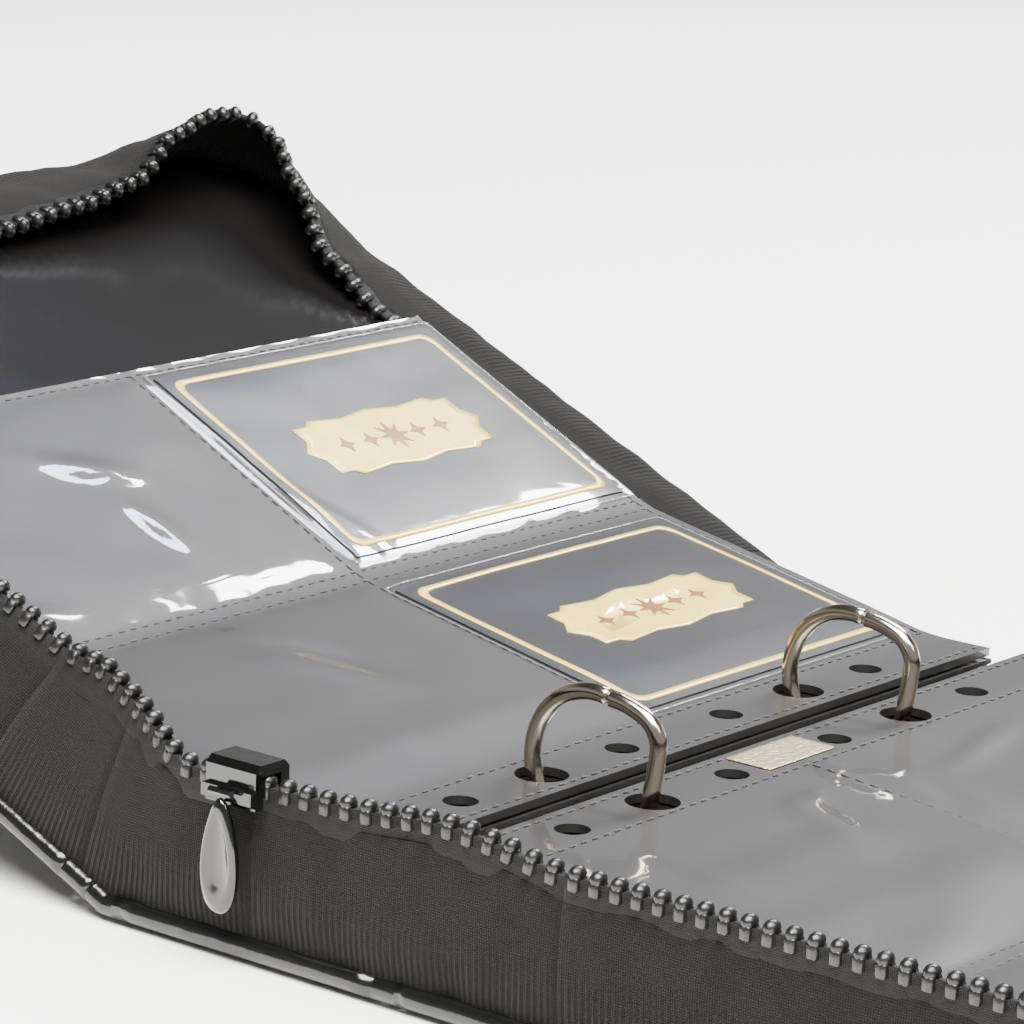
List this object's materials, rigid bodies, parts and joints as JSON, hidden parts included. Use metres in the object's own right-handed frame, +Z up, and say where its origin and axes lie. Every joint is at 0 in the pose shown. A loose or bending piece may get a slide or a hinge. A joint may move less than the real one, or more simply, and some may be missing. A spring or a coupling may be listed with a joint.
{
  "type": "trading card binder",
  "caption": "Zip-around ring binder with padded covers, fabric zip walls, a D-ring mechanism and pocket pages that hold sleeved trading cards.",
  "frame": {"origin": "on the underside of the spine board, under the middle of the rings and halfway along the spine", "axes": "+X runs across the open binder towards the back cover, +Y runs along the spine, +Z is up and out of the open binder"},
  "size_m": [0.4611, 0.2433, 0.1111],
  "materials": {
    "shell": "black grained synthetic leather cover skin",
    "lining": "smooth black semi-gloss lining",
    "piping": "glossy black round piping",
    "fabric": "black woven nylon wall",
    "zip": "black moulded zip teeth on woven tape",
    "hinge": "black flexible hinge skin",
    "pull": "black enamelled die-cast zip slider and pull",
    "steel": "plated pressed steel",
    "nickel": "warm polished nickel plate",
    "lever": "black painted pressed steel",
    "page": "black non-woven page backing under clear film",
    "film": "clear glossy polypropylene pocket film",
    "card": "printed card in a clear sleeve"
  },
  "bodies": {
    "spine": {"spine_shell": "shell", "spine_lining": "lining", "spine_piping_near": "piping", "spine_piping_far": "piping", "spine_hinge_bead": "hinge", "back_hinge_bead": "hinge", "near_gusset": "fabric", "near_gusset_zip": "zip", "far_gusset": "fabric", "far_gusset_zip": "zip", "ring_base_plate": "steel", "ring_rivet_near": "steel", "ring_rivet_far": "steel"},
    "front_strip": {"front_hinge_strip": "hinge", "front_hinge_bead": "hinge"},
    "front_cover": {"front_cover_shell": "shell", "front_cover_lining": "lining", "front_cover_piping": "piping", "front_wall": "fabric", "front_zip_chain": "zip"},
    "back_cover": {"back_cover_shell": "shell", "back_cover_lining": "lining", "back_cover_piping": "piping", "back_wall": "fabric", "back_zip_chain": "zip"},
    "ring_halves_left": {"ring_blade_left": "steel", "ring_near_left_half": "nickel", "ring_far_left_half": "nickel"},
    "ring_halves_right": {"ring_blade_right": "steel", "ring_near_right_half": "nickel", "ring_far_right_half": "nickel"},
    "lever_near": {"ring_lever_near": "lever"},
    "lever_far": {"ring_lever_far": "lever"},
    "left_pages": {"left_page_second": "page", "left_page_third": "page"},
    "left_top_page": {"left_page_film": "film", "left_page_backing": "page", "inner_card": "card", "outer_card": "card"},
    "right_pages": {"right_page_film": "film", "right_page_backing": "page", "right_page_second": "page", "right_page_third": "page"},
    "zip_slider": {"zip_slider": "pull"},
    "zip_pull": {"zip_pull_tab": "pull", "zip_pull_pin": "pull"}
  },
  "joints": [
    {"name": "front_cover_fold", "type": "hinge", "parent": "spine", "child": "front_strip", "pos_m": [-0.0445, 0, 0.0022], "axis": [0, 1, 0], "range_deg": [0, 66], "deforming": ["near_gusset", "near_gusset_zip"]},
    {"name": "front_cover_flat", "type": "hinge", "parent": "front_strip", "child": "front_cover", "pos_m": [-0.05181, 0, 0.00545], "axis": [0, 1, 0], "range_deg": [-24, 0]},
    {"name": "back_cover_fold", "type": "hinge", "parent": "spine", "child": "back_cover", "pos_m": [0.0185, 0, 0.0022], "axis": [0, -1, 0], "range_deg": [0, 90], "deforming": ["far_gusset", "far_gusset_zip"]},
    {"name": "left_pages_turn", "type": "hinge", "parent": "spine", "child": "left_pages", "pos_m": [0, 0, 0.0202], "axis": [0, 1, 0], "range_deg": [0, 66]},
    {"name": "right_pages_turn", "type": "hinge", "parent": "spine", "child": "right_pages", "pos_m": [0.0015, 0, 0.0202], "axis": [0, -1, 0], "range_deg": [0, 96]},
    {"name": "top_page_turn", "type": "hinge", "parent": "left_pages", "child": "left_top_page", "pos_m": [0, 0, 0.0202], "axis": [0, -1, 0], "range_deg": [-100, 0]},
    {"name": "ring_open", "type": "hinge", "parent": "spine", "child": "ring_halves_left", "pos_m": [-0.0105, 0, 0.0059], "axis": [0, 1, 0], "range_deg": [-6, 0]},
    {"name": "ring_open_right", "type": "hinge", "parent": "spine", "child": "ring_halves_right", "pos_m": [0.0105, 0, 0.0059], "axis": [0, 1, 0], "range_deg": [0, 6]},
    {"name": "lever_near_press", "type": "hinge", "parent": "spine", "child": "lever_near", "pos_m": [0, -0.084, 0.0059], "axis": [1, 0, 0], "range_deg": [0, 6]},
    {"name": "lever_far_press", "type": "hinge", "parent": "spine", "child": "lever_far", "pos_m": [0, 0.084, 0.0059], "axis": [-1, 0, 0], "range_deg": [0, 6]},
    {"name": "zip_slide", "type": "slide", "parent": "spine", "child": "zip_slider", "axis": [1, 0, 0], "range_m": [-0.008, 0.012]},
    {"name": "zip_pull_swing", "type": "hinge", "parent": "zip_slider", "child": "zip_pull", "pos_m": [-0.0135, -0.12335, 0.0303], "axis": [-1, 0, 0], "range_deg": [0, 100]}
  ],
  "couplings": [
    {"joint": "left_pages_turn", "follows": "front_cover_fold", "ratio": 1},
    {"joint": "right_pages_turn", "follows": "back_cover_fold", "ratio": 1.06},
    {"joint": "ring_open_right", "follows": "ring_open", "ratio": -1},
    {"joint": "lever_near_press", "follows": "ring_open", "ratio": -1},
    {"joint": "lever_far_press", "follows": "ring_open", "ratio": -1}
  ]
}
